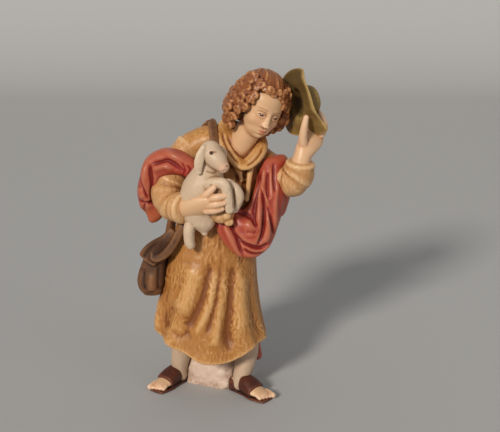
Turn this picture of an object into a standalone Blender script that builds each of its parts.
"""Carved and painted nativity shepherd: a youth who carries a lamb and lifts his hat, one solid piece.

The figure faces -Y, with +Z up and +X at its left hand. It stands on two sandalled feet and a stone
between them. Its forms are laid out in carver's units, 150 to the height, so a size below that isn't
in metres is a share of HEIGHT. Each form is a closed mesh that runs a little into its neighbours, and
a voxel remesh makes them the one piece that the carver cuts from the block.
"""

import math

import bmesh
import bpy
import numpy as np
from mathutils import Matrix, Vector

HEIGHT = 0.150
UNITS = 150
UNIT = HEIGHT / UNITS

VOXEL = 0.62 * UNIT
TRIANGLE_SHARE = 0.033
SMOOTH_PASSES = 2
SINK = 1.2

SKIN_TONE = (0.74, 0.53, 0.36, 1.0)
PAINT_ROUGHNESS = 0.42

FRONT = (0, -1, 0)
UP = (0, 0, 1)

HEAD_PLACE = (20.9, -6.2, 133.9)
HEAD_ROLL, HEAD_YAW, HEAD_PITCH = 19, 24, 13

HAT_PLACE = (37.6, -3.4, 135.4)
HAT_AXIS = (0.87, 0.36, 0.30)
BRIM_RADIUS = 14.8
BRIM_THICKNESS = 1.7
CROWN_RADIUS = 7.8
CROWN_HEIGHT = 9.4

BAG_FACING = (-0.25, -0.97, 0)

STONE_PLACE = (0.4, 6.0)
STONE_HALF_WIDTH = 11.8
STONE_HALF_DEPTH = 8.6
STONE_TOP = 13.0
STONE_FACING = (-0.40, -0.92, 0)

SOLE_THICKNESS = 1.5


def clear_scene():
    """Removes every object of the scene."""
    for obj in list(bpy.data.objects):
        bpy.data.objects.remove(obj)


def eased(rows, count):
    """A Catmull-Rom curve through rows of numbers, such as places with their sizes."""
    rows = np.array(rows, float)
    ends = np.vstack([2 * rows[0] - rows[1], rows, 2 * rows[-1] - rows[-2]])
    made = []
    for at in np.linspace(0, len(rows) - 1, count):
        i = min(int(at), len(rows) - 2)
        t = at - i
        a, b, c, d = ends[i : i + 4]
        made.append(
            0.5 * (2 * b + (c - a) * t + (2 * a - 5 * b + 4 * c - d) * t**2 + (3 * b - a - 3 * c + d) * t**3)
        )
    return np.array(made)


def unit_vector(v):
    v = np.asarray(v, float)
    return v / np.linalg.norm(v)


def ring_mesh(bm, rings, start, end):
    """Skins a list of closed rings and closes it at a start point and an end point."""
    loops = [[bm.verts.new(Vector(p) * UNIT) for p in ring] for ring in rings]
    sides = len(loops[0])
    for lower, upper in zip(loops, loops[1:]):
        for i in range(sides):
            j = (i + 1) % sides
            bm.faces.new((lower[i], lower[j], upper[j], upper[i]))
    first, last = bm.verts.new(Vector(start) * UNIT), bm.verts.new(Vector(end) * UNIT)
    for i in range(sides):
        j = (i + 1) % sides
        bm.faces.new((first, loops[0][j], loops[0][i]))
        bm.faces.new((last, loops[-1][i], loops[-1][j]))


def sweep(bm, rows, facing=FRONT, sides=14, count=None, square=1.0, ripple=None, warp=None, blunt=1.0):
    """A round-ended limb along a curve.

    Each row is x, y, z, half width and half depth. The depth points along facing. square below 1 gives
    a boxier section. ripple(angle, along) scales the section, and warp(across, along) pushes it
    along facing, as folds in a cloth do.
    """
    count = count or 5 * len(rows)
    path = eased(rows, count)
    centre, wide, deep = path[:, :3], np.abs(path[:, 3]), np.abs(path[:, 4])
    run = np.gradient(centre, axis=0)
    angles = np.linspace(0, 2 * math.pi, sides, endpoint=False)
    cos = np.sign(np.cos(angles)) * np.abs(np.cos(angles)) ** square
    sin = np.sign(np.sin(angles)) * np.abs(np.sin(angles)) ** square
    rings = []
    for k in range(count):
        along = k / (count - 1)
        tangent = unit_vector(run[k])
        normal = unit_vector(facing - np.dot(facing, tangent) * tangent)
        side = np.cross(normal, tangent)
        scale = ripple(angles, along) if ripple else np.ones(sides)
        push = warp(cos, along) if warp else np.zeros(sides)
        ring = (
            centre[k]
            + np.outer(cos * wide[k] * scale, side)
            + np.outer(sin * deep[k] * scale + push, normal)
        )
        rings.append(ring)
    ends = []
    for k, outward in ((0, -1), (count - 1, 1)):
        tangent = outward * unit_vector(run[k])
        reach = blunt * min(wide[k], deep[k])
        middle = rings[k].mean(axis=0)
        caps = [
            middle + (rings[k] - middle) * math.cos(turn) + tangent * reach * math.sin(turn)
            for turn in np.radians((30, 55, 75))
        ]
        ends.append((caps, middle + tangent * reach))
    (start_caps, start), (end_caps, end) = ends
    ring_mesh(bm, start_caps[::-1] + rings + end_caps, start, end)


def ball(bm, centre, radii, turn=None):
    """An ellipsoid. turn is a rotation matrix."""
    matrix = Matrix.Translation(Vector(centre) * UNIT)
    if turn is not None:
        matrix = matrix @ turn.to_4x4()
    matrix = matrix @ Matrix.Diagonal((*(Vector(radii) * UNIT), 1))
    bmesh.ops.create_icosphere(bm, subdivisions=3, radius=1, matrix=matrix)


def bump(angle, centre, width):
    """1 at an angle and 0 well away from it, in degrees."""
    off = (np.degrees(angle) - centre + 180) % 360 - 180
    return np.exp(-((off / width) ** 2))


def foot(bm, heel, ball_of_foot, toe_tip, big_toe_side):
    """A bare foot with five toes, its sole and the leather band across it."""
    heel, mid, tip = (np.array([*p, 0.0]) for p in (heel, ball_of_foot, toe_tip))
    ahead = unit_vector(tip - heel)
    across = np.array([-ahead[1], ahead[0], 0]) * big_toe_side
    lift = SOLE_THICKNESS

    def row(place, height, wide, deep):
        return (*(place + np.array([0, 0, height + lift])), wide, deep)

    arch = heel * 0.45 + mid * 0.55
    bare = [
        row(heel, 2.6, 3.5, 2.9),
        row(arch, 3.1, 3.5, 3.4),
        row(mid, 1.9, 4.2, 2.4),
        row(tip, 1.2, 3.6, 1.4),
    ]
    sweep(bm, bare, facing=UP, sides=16)
    for toe in range(5):
        aside = across * (3.1 - 1.6 * toe)
        reach = ahead * (2.2 - 0.55 * toe)
        radius = 1.5 if toe == 0 else 1.05
        root, end = tip + aside - ahead * 1.5, tip + aside * 1.02 + reach
        sweep(bm, [row(root, 1.3, radius, radius), row(end, 0.75, radius, radius * 0.9)], facing=UP, sides=8)
    sole_middle, sole_half = (lift - SINK) / 2 - lift, (lift + SINK) / 2
    outline = [(heel - ahead * 1.6, 3.6), (arch, 3.9), (mid, 4.9), (tip + ahead * 1.6, 4.2)]
    sole = [row(place, sole_middle, wide, sole_half) for place, wide in outline]
    sweep(bm, sole, facing=UP, sides=16, square=0.6, blunt=0.8)
    band = [row(arch * 0.75 + mid * 0.25, 3.3, 4.3, 3.9), row(mid * 0.9 + tip * 0.1, 2.1, 4.8, 2.9)]
    sweep(bm, band, facing=UP, sides=16, square=0.8, blunt=0.35)
    behind_heel = heel + ahead * 0.4
    heel_band = [row(behind_heel, 0.2, 4.0, 3.9), row(behind_heel, 3.4, 3.9, 3.8)]
    sweep(bm, heel_band, facing=tuple(ahead), sides=14, blunt=0.2)


def legs_and_feet(bm):
    right_leg = [
        (-13.0, 1.5, 34, 5.8, 5.8),
        (-15.3, 1.2, 20, 5.0, 5.2),
        (-16.9, 3.0, 8, 4.1, 4.3),
        (-16.8, 4.0, 4, 4.0, 4.2),
    ]
    left_leg = [
        (14.0, -2.5, 34, 6.0, 6.0),
        (15.6, -4.0, 20, 5.3, 5.5),
        (13.2, -6.6, 8, 4.2, 4.4),
        (12.6, -6.6, 4, 4.1, 4.2),
    ]
    sweep(bm, right_leg, sides=16)
    sweep(bm, left_leg, sides=16)
    foot(bm, (-15.4, 5.8), (-23.2, -3.8), (-26.2, -7.6), -1)
    foot(bm, (10.6, -5.2), (19.4, -13.6), (23.6, -17.0), 1)


def stone(bm):
    """The rough block between the feet, which carries part of the weight."""
    x, y = STONE_PLACE
    wide, deep = STONE_HALF_WIDTH, STONE_HALF_DEPTH
    rows = [
        (x, y, -SINK, wide, deep),
        (x, y, STONE_TOP * 0.25, wide * 1.02, deep * 1.04),
        (x, y, STONE_TOP * 0.65, wide, deep),
        (x, y, STONE_TOP, wide * 0.86, deep * 0.86),
    ]

    def rough(angle, along):
        return 1 + 0.03 * np.sin(3 * angle + 5 * along) + 0.02 * np.sin(7 * angle - 9 * along)

    sweep(bm, rows, facing=STONE_FACING, sides=28, square=0.5, ripple=rough, blunt=0.1)


# Each fold of the skirt: its angle at the waist and at the hem, its depth as a share, and its width.
SKIRT_FOLDS = (
    (-64, -77, -0.15, 8),
    (-84, -117, -0.12, 10),
    (-118, -146, -0.10, 9),
    (-38, -34, -0.07, 8),
    (-74, -97, 0.05, 8),
    (-100, -131, 0.07, 12),
    (-50, -54, 0.07, 12),
    (-8, -4, -0.09, 10),
    (28, 24, -0.10, 11),
    (62, 66, -0.10, 12),
    (98, 104, -0.11, 12),
    (134, 140, -0.10, 11),
    (168, 172, -0.09, 10),
    (46, 45, 0.05, 11),
    (116, 122, 0.05, 11),
)
HEM_LEVELS = ((-90, -5.5, 34), (-150, 2.0, 30), (180, 5.0, 34), (-20, 1.5, 26), (90, -2.0, 60))
HEM_HEIGHT = 25.5
SKIRT_ROWS = (
    (-1.4, -0.5, 25.5, 26.0, 20.5),
    (-1.8, 0.0, 38.0, 24.6, 19.2),
    (-1.8, 0.0, 50.0, 22.7, 17.8),
    (-1.0, 0.0, 62.0, 20.9, 16.0),
    (0.6, 0.2, 74.0, 19.2, 14.4),
    (3.4, 0.4, 86.0, 17.8, 13.0),
    (6.6, 0.6, 97.0, 17.2, 12.0),
    (9.2, 0.8, 108.0, 15.4, 10.8),
    (10.6, 0.8, 117.0, 10.0, 8.4),
)


def skirt_scale(angle, share):
    """The folds' effect on the section's size. share is 0 at the hem and 1 at the waist."""
    fade = np.clip(1.15 - share, 0, 1)
    total = np.ones_like(angle)
    for at_waist, at_hem, depth, width in SKIRT_FOLDS:
        at = at_hem + (at_waist - at_hem) * share
        total += depth * bump(angle, at, width * (0.7 + 0.5 * (1 - share))) * fade
    return total


def tunic(bm):
    """Skirt and body as one form, hollowed a little under the hem."""
    sides, count = 72, 44
    path = eased(SKIRT_ROWS, count)
    angles = np.linspace(-math.pi, math.pi, sides, endpoint=False)
    levels = sum(level * bump(angles, at, width) for at, level, width in HEM_LEVELS)
    waist = 66.0

    def ring(row, drop, inset=1.0):
        x, y, z, wide, deep = row
        share = min(1.0, max(0.0, (z - HEM_HEIGHT) / (waist - HEM_HEIGHT)))
        scale = skirt_scale(angles, share) * inset
        return np.stack(
            [x + wide * scale * np.cos(angles), y + deep * scale * np.sin(angles), z + levels * drop],
            axis=1,
        )

    def fade(z):
        return max(0.0, 1 - (z - HEM_HEIGHT) / 22)

    outside = [ring(row, fade(row[2])) for row in path]
    hem = path[0]
    inner = []
    for inset, rise in ((0.75, 7.0), (0.85, 4.0), (0.93, 0.5)):
        lifted = hem.copy()
        lifted[2] += rise
        inner.append(ring(lifted, 0.9, inset))
    for one in inner:
        one[:, 2] = np.maximum(one[:, 2], HEM_HEIGHT - 6)
    top = path[-1][:3] + np.array([0, 0, 3.0])
    ring_mesh(bm, inner + outside, hem[:3] + np.array([0, 0, 8.0]), top)
    shoulders = [
        (-9, 1.5, 115, 7.0, 7.6),
        (-1, 1.0, 118.5, 6.6, 8.0),
        (9, 0.8, 117, 6.6, 8.2),
        (18, 0.8, 111.5, 6.6, 8.0),
        (26, 0.5, 106, 6.4, 7.4),
    ]
    sweep(bm, shoulders, sides=20)


def sleeves(bm):
    sweep(
        bm,
        [
            (-9.0, 1.0, 115.0, 7.4, 7.6),
            (-16.0, -1.0, 106.5, 7.8, 8.0),
            (-19.4, -4.4, 98.0, 7.6, 8.0),
            (-18.6, -9.4, 92.8, 6.8, 7.2),
            (-15.8, -13.6, 91.8, 6.9, 6.9),
        ],
        facing=(-0.9, 0.3, -0.4),
        sides=24,
        ripple=lambda angle, along: 1 + 0.05 * np.sin(34 * along + 2 * np.sin(angle)),
        blunt=0.3,
    )
    sweep(
        bm,
        [
            (25.0, 0.5, 106.0, 7.0, 7.0),
            (31.0, -4.4, 102.2, 7.2, 7.2),
            (35.8, -8.6, 102.2, 7.0, 7.2),
            (38.2, -10.6, 105.6, 6.7, 6.9),
            (38.8, -11.4, 110.6, 6.6, 6.6),
        ],
        facing=(0.4, -0.2, -0.9),
        sides=24,
        ripple=lambda angle, along: 1 + 0.05 * np.sin(30 * along + 1.5 * np.sin(angle)),
        blunt=0.2,
    )


def collar(bm):
    """The cowl neck of the tunic, a loose roll round the throat."""
    rows = [
        (13, 5.0, 122.0, 2.8, 2.4),
        (6.6, 2.4, 123.6, 2.9, 2.4),
        (5.4, -3.0, 121.0, 2.9, 2.3),
        (8.2, -8.8, 115.4, 2.8, 2.3),
        (13.4, -11.6, 111.4, 2.9, 2.3),
        (18.6, -10.0, 112.8, 2.7, 2.3),
        (21.8, -5.2, 115.6, 2.7, 2.3),
        (21.0, 1.0, 118.6, 2.8, 2.4),
        (15.0, 5.0, 121.4, 2.8, 2.4),
    ]
    sweep(bm, rows, facing=UP, sides=12)


# The swag hangs from the left arm to the right side in rolled folds, the lowest first.
SWAG_FOLDS = (
    (
        (31.0, -3.0, 109.5, 3.4, 4.6),
        (30.4, -8.6, 98.0, 3.0, 4.2),
        (27.6, -11.6, 86.0, 2.8, 4.0),
        (24.0, -14.6, 76.0, 3.0, 3.6),
        (17.6, -17.6, 71.4, 3.0, 3.0),
        (10.5, -17.0, 73.8, 3.0, 3.0),
        (5.2, -14.8, 80.4, 3.0, 3.0),
        (2.4, -12.6, 87.0, 3.0, 3.0),
    ),
    (
        (28.6, -4.8, 109.8, 3.0, 4.0),
        (28.0, -11.2, 98.0, 2.6, 3.4),
        (25.6, -14.4, 87.0, 2.6, 3.2),
        (21.0, -17.4, 78.0, 3.0, 3.0),
        (14.6, -18.0, 77.0, 3.2, 3.0),
        (9.6, -16.2, 81.0, 3.0, 3.0),
        (7.6, -13.2, 88.0, 2.6, 2.8),
    ),
    (
        (26.0, -6.0, 109.6, 2.8, 3.6),
        (24.6, -11.8, 99.0, 2.6, 3.2),
        (22.4, -14.6, 90.0, 3.0, 3.2),
        (18.4, -16.8, 83.4, 3.6, 3.2),
        (13.2, -16.0, 84.0, 3.6, 3.2),
        (10.4, -13.4, 89.0, 2.8, 2.8),
    ),
    (
        (23.6, -6.0, 109.0, 2.6, 3.2),
        (21.0, -10.6, 99.0, 2.4, 2.8),
        (18.4, -12.4, 91.0, 2.6, 2.8),
        (15.0, -12.6, 87.6, 2.8, 2.8),
    ),
)


def cloak(bm):
    """The cloak over both arms: a roll on the right arm, the drop down the back and the swag in front."""
    roll = [
        (-7.6, -10.5, 106.5, 4.0, 3.6),
        (-11.5, -9.6, 109.0, 5.0, 4.6),
        (-17.5, -6.4, 109.8, 6.0, 6.4),
        (-24.5, -3.0, 106.4, 6.2, 7.4),
        (-28.4, -1.0, 99.0, 5.6, 8.0),
        (-28.8, 0.0, 91.5, 5.4, 8.0),
        (-27.6, 1.0, 84.5, 4.6, 6.6),
    ]

    def roll_folds(angle, along):
        return 1 + 0.09 * np.cos(5 * angle + 3 * along) + 0.04 * np.cos(9 * angle - 6 * along)

    sweep(bm, roll, sides=30, ripple=roll_folds, count=40)
    tail = [(-27.2, -1.5, 86, 5.0, 4.0), (-26.8, -1.0, 81.8, 3.4, 3.0), (-27.0, -0.5, 80.2, 1.8, 2.0)]
    sweep(bm, tail, sides=12)

    def back_folds(across, along):
        depth = 0.8 + 1.1 * along
        return depth * (np.cos(9 * across + 2.5 * along) + 0.5 * np.cos(17 * across - 3 * along))

    back = [
        (3, 9.0, 117, 15, 3.2),
        (3, 11.6, 108, 24, 4.2),
        (3, 13.6, 94, 25, 4.6),
        (4, 14.8, 78, 20.5, 4.4),
        (4.2, 16.4, 60, 15.4, 4.2),
        (7.4, 18.0, 42, 13.4, 3.8),
        (14.4, 18.4, 27, 8.8, 3.2),
        (23.0, 16.0, 13.5, 3.6, 2.2),
    ]
    sweep(bm, back, facing=(0, 1, 0), sides=60, square=0.7, count=48, warp=back_folds, blunt=0.6)
    round_right_arm = [(-26, 3, 102, 5, 6), (-20, 8.5, 104, 6, 5), (-8, 11.5, 104, 8, 4.5)]
    round_left_arm = [(29, 1, 106, 6, 6), (24, 8, 104, 8, 5), (12, 12, 102, 8, 4.5)]
    under_left_arm = [(30, 1, 104, 5, 6), (31.6, 3, 94, 4.0, 5.6), (30.5, 5, 85, 3.0, 4.4)]
    for rows in (round_right_arm, round_left_arm, under_left_arm):
        sweep(bm, rows, sides=18)

    for rows in SWAG_FOLDS:
        sweep(bm, rows, sides=14)
    behind_folds = [(28, -2, 107, 6, 5), (27, -6, 95, 6, 5), (22, -10, 84, 8, 5), (14, -12, 80, 8, 4)]
    sweep(bm, behind_folds, sides=18)


def shoulder_bag(bm):
    """The bag at the right hip, with its flap and the strap over the right shoulder."""
    body = [
        (-25.0, -2.0, 66.0, 4.6, 7.4),
        (-26.2, -1.4, 58.0, 6.2, 8.4),
        (-27.2, -1.0, 52.5, 6.8, 8.8),
        (-27.0, -1.0, 49.8, 6.0, 8.0),
    ]
    sweep(bm, body, facing=BAG_FACING, sides=28, square=0.7, blunt=0.6)
    flap = [
        (-17.0, -5.0, 77.5, 3.0, 3.4),
        (-20.6, -3.8, 72.6, 2.6, 6.4),
        (-24.8, -2.2, 69.8, 2.6, 8.6),
        (-29.4, -1.4, 66.4, 2.3, 9.4),
        (-31.4, -1.2, 60.6, 1.4, 9.2),
    ]
    sweep(bm, flap, facing=BAG_FACING, sides=28, square=0.6, blunt=0.4)
    front_leg = [
        (-28.0, -9.8, 63.0, 1.9, 1.6),
        (-22.6, -11.4, 66.6, 1.9, 1.5),
        (-17.4, -12.6, 72.8, 1.9, 1.4),
        (-13.0, -12.8, 80.0, 1.9, 1.3),
        (-7.0, -12.6, 92.0, 2.0, 1.2),
        (-0.6, -11.6, 106.0, 2.1, 1.1),
        (0.4, -9.0, 115.5, 2.2, 1.1),
        (-1.0, -5.4, 121.0, 2.2, 1.1),
        (-1.6, 0.0, 124.6, 2.2, 1.1),
    ]
    sweep(bm, front_leg, facing=(0.1, -0.9, 0.4), sides=12, count=56)
    back_leg = [
        (-1.6, 0.0, 124.6, 2.2, 1.1),
        (-4.4, 6.0, 122.0, 2.1, 1.2),
        (-9.0, 11.0, 108.0, 2.0, 1.2),
        (-15.0, 10.0, 93.0, 2.1, 1.3),
        (-19.0, 4.5, 81.0, 2.3, 1.5),
        (-22.0, 0.0, 71.6, 2.4, 1.6),
    ]
    sweep(bm, back_leg, facing=(-0.3, 0.9, 0.3), sides=12, count=36)


def fingers(bm, lines):
    """Each line is the finger's knuckle, joint and tip, with a radius at each."""
    for line in lines:
        sweep(bm, [(*place, radius, radius) for place, radius in line], sides=10)


def carrying_hand(bm):
    """The right forearm and hand under the lamb's chest, the forefinger lifted."""
    arm = [
        (-17.0, -12.6, 91.4, 5.6, 5.2),
        (-12.4, -17.0, 91.8, 5.0, 4.4),
        (-8.0, -20.4, 92.6, 5.0, 3.6),
        (-3.4, -23.0, 94.2, 5.2, 3.0),
        (-0.2, -24.4, 95.4, 4.6, 2.6),
    ]
    sweep(bm, arm, facing=(0.6, -0.7, 0), sides=18)
    fingers(
        bm,
        [
            [((-3.2, -24.0, 97.6), 1.9), ((-0.8, -25.8, 100.4), 1.7), ((1.6, -26.4, 103.0), 1.3)],
            [((-1.0, -25.0, 97.6), 1.9), ((3.0, -26.6, 98.8), 1.7), ((6.4, -26.6, 99.4), 1.3)],
            [((-1.0, -25.2, 95.0), 1.9), ((2.8, -26.6, 95.8), 1.7), ((6.0, -26.6, 96.4), 1.3)],
            [((-1.6, -24.8, 92.6), 1.8), ((2.0, -26.0, 93.0), 1.6), ((5.0, -26.0, 93.6), 1.2)],
        ],
    )


def raised_hand(bm):
    """The left forearm and hand, which pinches the hat's brim between thumb and fingers."""
    arm = [
        (38.2, -10.8, 103.0, 5.4, 5.4),
        (38.8, -11.4, 110.0, 4.8, 4.7),
        (39.6, -11.8, 117.4, 3.7, 3.2),
        (41.6, -11.2, 121.4, 4.4, 2.7),
        (43.4, -10.0, 124.6, 4.6, 2.4),
    ]
    sweep(bm, arm, sides=18)
    fingers(
        bm,
        [
            [((39.6, -12.4, 119.8), 2.2), ((38.6, -13.6, 125.0), 1.9), ((39.8, -13.4, 130.6), 1.4)],
            [((45.4, -9.8, 124.4), 1.9), ((48.6, -9.0, 127.2), 1.7), ((47.6, -7.0, 131.8), 1.4)],
            [((46.0, -8.8, 123.8), 1.9), ((49.2, -7.0, 127.0), 1.7), ((47.4, -4.6, 131.4), 1.4)],
            [((45.8, -7.2, 123.6), 1.9), ((48.6, -4.8, 127.0), 1.7), ((46.6, -2.4, 130.8), 1.4)],
            [((45.0, -6.0, 124.0), 1.8), ((47.0, -3.0, 127.2), 1.6), ((45.4, -0.8, 130.0), 1.3)],
        ],
    )


def lamb(bm):
    """The lamb lies upright against the chest, its forelegs over the hand and one hind leg hanging."""
    body = [
        (-5.4, -15.5, 85.0, 7.2, 6.2),
        (-5.2, -16.5, 91.5, 9.4, 7.4),
        (-3.6, -17.0, 99.0, 9.8, 7.8),
        (-1.6, -17.2, 106.0, 7.8, 6.8),
        (-0.4, -17.8, 112.0, 5.6, 5.4),
    ]
    sweep(bm, body, sides=24)
    ball(bm, (-0.2, -19.4, 117.0), (5.3, 5.3, 5.2))
    sweep(
        bm,
        [(0.6, -20.6, 116.8, 4.4, 4.2), (4.0, -22.8, 114.8, 3.6, 3.2), (6.6, -24.4, 113.0, 2.7, 2.4)],
        facing=UP,
        sides=16,
    )
    near_ear = [
        (-3.6, -22.2, 119.0, 1.3, 1.1),
        (-5.2, -23.6, 116.0, 2.3, 1.1),
        (-5.8, -24.0, 112.4, 2.4, 1.0),
        (-5.0, -23.4, 109.0, 1.4, 0.9),
    ]
    far_ear = [(3.0, -15.0, 119.4, 1.2, 1.0), (5.4, -14.0, 116.4, 2.0, 1.0), (6.0, -13.6, 113.0, 1.4, 0.9)]
    sweep(bm, near_ear, sides=12)
    sweep(bm, far_ear, sides=12)
    near_foreleg = [
        (-1.0, -20.6, 102.4, 4.2, 3.8),
        (4.0, -23.6, 105.0, 3.0, 3.0),
        (7.2, -25.2, 104.6, 2.7, 2.8),
        (7.4, -25.4, 99.5, 2.3, 2.3),
        (6.6, -24.8, 92.6, 2.3, 2.2),
    ]
    far_foreleg = [
        (5.0, -18.6, 101.0, 3.6, 3.4),
        (9.6, -19.2, 100.0, 2.9, 2.8),
        (12.2, -19.4, 97.0, 2.5, 2.5),
        (9.4, -19.8, 91.6, 2.6, 2.5),
    ]
    sweep(bm, near_foreleg, sides=14)
    sweep(bm, far_foreleg, sides=14)
    ball(bm, (5.0, -21.6, 98.6), (4.8, 4.0, 6.2))
    rump = [(-4.0, -17.0, 88.0, 8.2, 6.2), (-1.8, -18.0, 84.4, 6.0, 4.8), (-2.6, -18.6, 81.4, 1.8, 2.0)]
    hind_leg = [(-8.0, -17.6, 87.0, 3.8, 3.6), (-10.4, -19.2, 81.4, 3.0, 3.0), (-9.6, -18.6, 76.2, 3.0, 2.9)]
    sweep(bm, rump, sides=18)
    sweep(bm, hind_leg, sides=14)
    ball(bm, (4.8, -18.4, 89.4), (5.2, 5.0, 4.2))
    ball(bm, (7.8, -20.6, 86.6), (2.1, 2.1, 2.0))


def head_turn():
    """The head's rotation: nodded, turned and tilted towards the raised hat."""
    roll, yaw, pitch = (math.radians(v) for v in (HEAD_ROLL, HEAD_YAW, HEAD_PITCH))
    return Matrix.Rotation(roll, 3, "Y") @ Matrix.Rotation(yaw, 3, "Z") @ Matrix.Rotation(pitch, 3, "X")


def head(bm):
    turn = head_turn()
    at = Vector(HEAD_PLACE)

    def place(x, y, z):
        return tuple(at + turn @ Vector((x, y, z)))

    def line(rows):
        return [(*place(x, y, z), wide, deep) for x, y, z, wide, deep in rows]

    face = tuple(turn @ Vector(FRONT))
    neck = [
        (11.0, -1.6, 111.0, 7.2, 6.8),
        (13.8, -3.4, 118.0, 6.2, 6.0),
        (17.4, -4.4, 125.0, 5.9, 6.0),
        (20.4, -4.6, 130.0, 5.9, 6.0),
    ]
    sweep(bm, neck, sides=18)
    ball(bm, place(0, 1.2, 4.0), (8.8, 10.4, 8.8), turn)
    ball(bm, place(0, -3.0, -1.6), (7.6, 6.8, 8.6), turn)
    ball(bm, place(0, -4.4, -6.6), (5.4, 5.4, 5.6), turn)
    ball(bm, place(0, -7.6, -9.4), (2.6, 2.2, 2.2), turn)
    nose = [(0, -9.2, 2.6, 1.0, 1.0), (0, -11.2, -2.0, 1.2, 1.4), (0, -11.4, -3.9, 1.7, 1.5)]
    mouth = [(-2.4, -8.8, -7.4, 0.7, 0.9), (0, -10.0, -7.0, 1.2, 1.3), (2.4, -8.8, -7.4, 0.7, 0.9)]
    sweep(bm, line(nose), facing=face, sides=12)
    sweep(bm, line(mouth), facing=face, sides=10)
    for side in (-1, 1):
        ball(bm, place(side * 3.6, -8.0, 0.4), (1.9, 1.5, 1.2), turn)
        ball(bm, place(side * 4.4, -6.6, -3.4), (2.8, 2.6, 2.8), turn)
    hair(bm, place, turn)


# Each row of curls: its height in the head's frame, the arc it spans in degrees with -90 in front,
# its half sizes across and front to back, how many curls it has and their radius.
CURL_ROWS = (
    (11.2, -150, 200, 6.6, 6.8, 11, 2.2),
    (8.4, -146, -34, 9.4, 10.4, 8, 1.9),
    (7.6, -30, 210, 10.8, 10.4, 10, 2.5),
    (4.0, -36, 216, 11.6, 11.4, 12, 2.6),
    (0.2, -26, 206, 12.8, 12.4, 12, 2.9),
    (-3.8, -20, 200, 13.6, 13.0, 11, 3.0),
    (-7.6, -12, 192, 12.6, 12.6, 10, 2.8),
)


def hair(bm, place, turn):
    """A smooth crown with rows of round curls about the face, the sides and the nape."""
    ball(bm, place(0, 2.8, 6.2), (10.6, 11.2, 9.4), turn)
    ball(bm, place(0, 6.0, -1.0), (10.4, 7.6, 9.8), turn)
    for row, (height, first, last, wide, deep, count, radius) in enumerate(CURL_ROWS):
        for step in range(count):
            turned = math.radians(first + (last - first) * (step + 0.25 * (row % 2)) / (count - 1))
            x, y = wide * math.cos(turned), 2.4 + deep * math.sin(turned)
            swell = 1 + 0.12 * math.sin(2.4 * step + 1.7 * row)
            ball(bm, place(x, y, height + 0.7 * math.sin(3.1 * step + row)), (radius * swell,) * 3, turn)


def hat(bm):
    """A soft felt hat held by its brim, its hollow towards the head."""
    axis = unit_vector(HAT_AXIS)
    upward = unit_vector(np.array(UP) - axis[2] * axis)
    nearer = np.cross(axis, upward)
    centre = np.array(HAT_PLACE)
    angles = np.linspace(0, 2 * math.pi, 48, endpoint=False)
    sway = 2.3 * np.cos(2 * angles) + 0.8 * np.cos(3 * angles + 0.6)

    def ring(radius, rise):
        lift = rise + sway * max(0.0, (radius - CROWN_RADIUS) / (BRIM_RADIUS - CROWN_RADIUS)) ** 1.5
        flat = radius * (np.outer(np.cos(angles), nearer) + np.outer(np.sin(angles), upward))
        return centre + flat + np.outer(lift, axis)

    wall, top, crown = BRIM_THICKNESS, CROWN_HEIGHT, CROWN_RADIUS
    inside = [(2.5, top - 2.6), (5.0, top - 3.4), (crown - wall, 3.0), (crown - 0.9, 0)]
    brim = [(crown + 1.6, -0.8), (BRIM_RADIUS * 0.8, -0.6), (BRIM_RADIUS - 0.5, -0.2), (BRIM_RADIUS, 0.6)]
    over = [(BRIM_RADIUS - 0.5, wall - 0.3), (BRIM_RADIUS * 0.8, wall - 0.4), (crown + 0.9, wall)]
    outside = [(crown, 3.2), (crown - 1.0, top - 2), (4.6, top), (2.0, top - 0.6)]
    rings = [ring(*pair) for pair in inside + brim + over + outside]
    ring_mesh(bm, rings, centre + axis * (CROWN_HEIGHT - 2.4), centre + axis * (CROWN_HEIGHT - 0.8))


def paint():
    made = bpy.data.materials.new("painted_wood")
    made.use_nodes = True
    shader = made.node_tree.nodes["Principled BSDF"]
    shader.inputs["Base Color"].default_value = SKIN_TONE
    shader.inputs["Roughness"].default_value = PAINT_ROUGHNESS
    shader.inputs["Metallic"].default_value = 0.0
    return made


def mesh_object(name, bm):
    bmesh.ops.recalc_face_normals(bm, faces=bm.faces)
    mesh = bpy.data.meshes.new(name)
    bm.to_mesh(mesh)
    bm.free()
    obj = bpy.data.objects.new(name, mesh)
    bpy.context.scene.collection.objects.link(obj)
    return obj


def ground_cutter():
    """A block below the floor line, which trims the soles and the stone flat."""
    bm = bmesh.new()
    side, depth = 2 * HEIGHT, HEIGHT * 0.2
    size = Matrix.Diagonal((side, side, depth, 1))
    bmesh.ops.create_cube(bm, size=1, matrix=Matrix.Translation((0, 0, -depth / 2)) @ size)
    cutter = mesh_object("ground_cutter", bm)
    cutter.hide_render = True
    cutter.display_type = "WIRE"
    return cutter


FORMS = (
    legs_and_feet,
    stone,
    tunic,
    sleeves,
    collar,
    cloak,
    shoulder_bag,
    carrying_hand,
    raised_hand,
    lamb,
    head,
    hat,
)


def figure():
    bm = bmesh.new()
    for form in FORMS:
        form(bm)
    obj = mesh_object("shepherd_figure", bm)
    obj.data.materials.append(paint())
    fuse = obj.modifiers.new("fuse", "REMESH")
    fuse.mode = "VOXEL"
    fuse.voxel_size = VOXEL
    soften = obj.modifiers.new("soften", "SMOOTH")
    soften.iterations = SMOOTH_PASSES
    thin = obj.modifiers.new("thin", "DECIMATE")
    thin.ratio = TRIANGLE_SHARE
    trim = obj.modifiers.new("trim", "BOOLEAN")
    trim.operation = "DIFFERENCE"
    trim.object = ground_cutter()
    return obj


def main():
    clear_scene()
    figure()


main()
